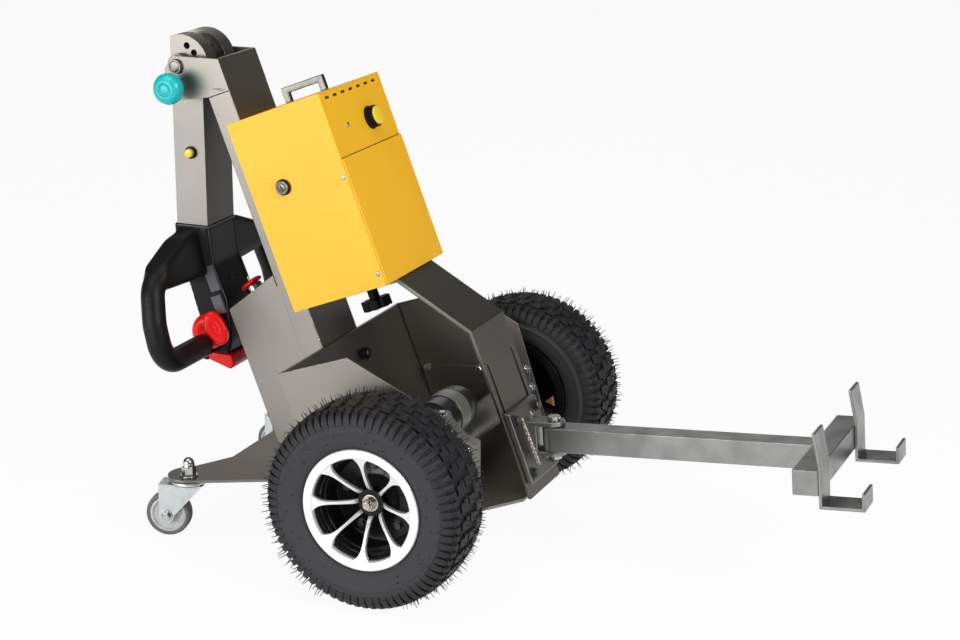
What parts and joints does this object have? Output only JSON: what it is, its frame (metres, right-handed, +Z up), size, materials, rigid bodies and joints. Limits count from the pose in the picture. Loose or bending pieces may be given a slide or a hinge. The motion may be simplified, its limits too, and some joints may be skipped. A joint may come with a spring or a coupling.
{
  "type": "electric tow tractor",
  "caption": "Walk-behind electric tow tractor with two drive wheels, swivel casters, a fold-down tiller, a battery box on a leaning mast and a swinging tow arm with hooks.",
  "frame": {"origin": "on the ground under the middle of the whole machine", "axes": "+X towards the tow hooks, +Y to the left of that, +Z up"},
  "size_m": [1.2172, 0.739, 0.816],
  "materials": {
    "frame_paint": "satin metallic grey",
    "arm_steel": "bare grey steel",
    "yellow_paint": "semi-gloss yellow",
    "black_plastic": "fine texture",
    "motor_black": "satin black",
    "red_plastic": "gloss",
    "bright_steel": "plated",
    "tyre_rubber": "matte rubber",
    "rim_alloy": "machined lip, black inside",
    "caster_rubber": "matte",
    "caster_core": "pale grey",
    "caster_zinc": "zinc plated",
    "teal_plastic": "gloss",
    "yellow_plastic": "gloss"
  },
  "bodies": {
    "chassis": {"axle_flange_left": "frame_paint", "axle_flange_right": "frame_paint", "base_plate": "frame_paint", "battery_case": "yellow_paint", "battery_cover": "yellow_paint", "battery_pack": "black_plastic", "box_handle": "bright_steel", "caster_stem_left": "bright_steel", "caster_stem_right": "bright_steel", "drive_unit": "frame_paint", "front_dial": "black_plastic", "front_strap": "frame_paint", "hitch_pin": "bright_steel", "hitch_plate": "arm_steel", "key_lock": "bright_steel", "mast": "frame_paint", "mast_head": "frame_paint", "motor": "motor_black", "pivot_bolt": "bright_steel", "plunger_knob": "teal_plastic", "rear_bulkhead": "frame_paint", "rear_housing": "frame_paint", "side_plate_left": "frame_paint", "side_plate_right": "frame_paint", "star_knob": "black_plastic", "stop_button": "red_plastic"},
    "wheel_right": {"tyre_right": "tyre_rubber", "rim_right": "rim_alloy", "axle_right": "bright_steel"},
    "wheel_left": {"tyre_left": "tyre_rubber", "rim_left": "rim_alloy", "axle_left": "bright_steel"},
    "caster_swivel_right": {"caster_fork_right": "caster_zinc"},
    "caster_swivel_left": {"caster_fork_left": "caster_zinc"},
    "caster_wheel_right": {"caster_tyre_right": "caster_rubber", "caster_core_right": "caster_core"},
    "caster_wheel_left": {"caster_tyre_left": "caster_rubber", "caster_core_left": "caster_core"},
    "tiller": {"tiller_tube": "frame_paint", "tiller_button": "yellow_plastic", "tiller_head": "black_plastic", "throttle_right": "red_plastic", "throttle_left": "red_plastic", "belly_button": "red_plastic"},
    "tow_arm": {"arm_tube": "arm_steel", "cross_beam": "arm_steel", "hook_right": "arm_steel", "hook_left": "arm_steel"}
  },
  "joints": [
    {"name": "wheel_right_spin", "type": "hinge", "parent": "chassis", "child": "wheel_right", "pos_m": [-0.11318, -0.307, 0.165], "axis": [0, 1, 0], "continuous": true},
    {"name": "wheel_left_spin", "type": "hinge", "parent": "chassis", "child": "wheel_left", "pos_m": [-0.11318, 0.307, 0.165], "axis": [0, 1, 0], "continuous": true},
    {"name": "caster_right_swivel", "type": "hinge", "parent": "chassis", "child": "caster_swivel_right", "pos_m": [-0.51518, -0.182, 0.06], "axis": [0, 0, 1], "continuous": true},
    {"name": "caster_right_spin", "type": "hinge", "parent": "caster_swivel_right", "child": "caster_wheel_right", "pos_m": [-0.55011, -0.19071, 0.03765], "axis": [-0.2419, 0.9703, 0], "continuous": true},
    {"name": "caster_left_swivel", "type": "hinge", "parent": "chassis", "child": "caster_swivel_left", "pos_m": [-0.51518, 0.182, 0.06], "axis": [0, 0, 1], "continuous": true},
    {"name": "caster_left_spin", "type": "hinge", "parent": "caster_swivel_left", "child": "caster_wheel_left", "pos_m": [-0.55011, 0.19071, 0.03765], "axis": [0.2419, 0.9703, 0], "continuous": true},
    {"name": "tiller_fold", "type": "hinge", "parent": "chassis", "child": "tiller", "pos_m": [-0.58059, 0, 0.766], "axis": [0, 1, 0], "range_deg": [0, 143]},
    {"name": "tow_arm_swing", "type": "hinge", "parent": "chassis", "child": "tow_arm", "pos_m": [0.06482, 0, 0.192], "axis": [-0.0732, 0, 0.9973], "range_deg": [-60, 60]}
  ]
}
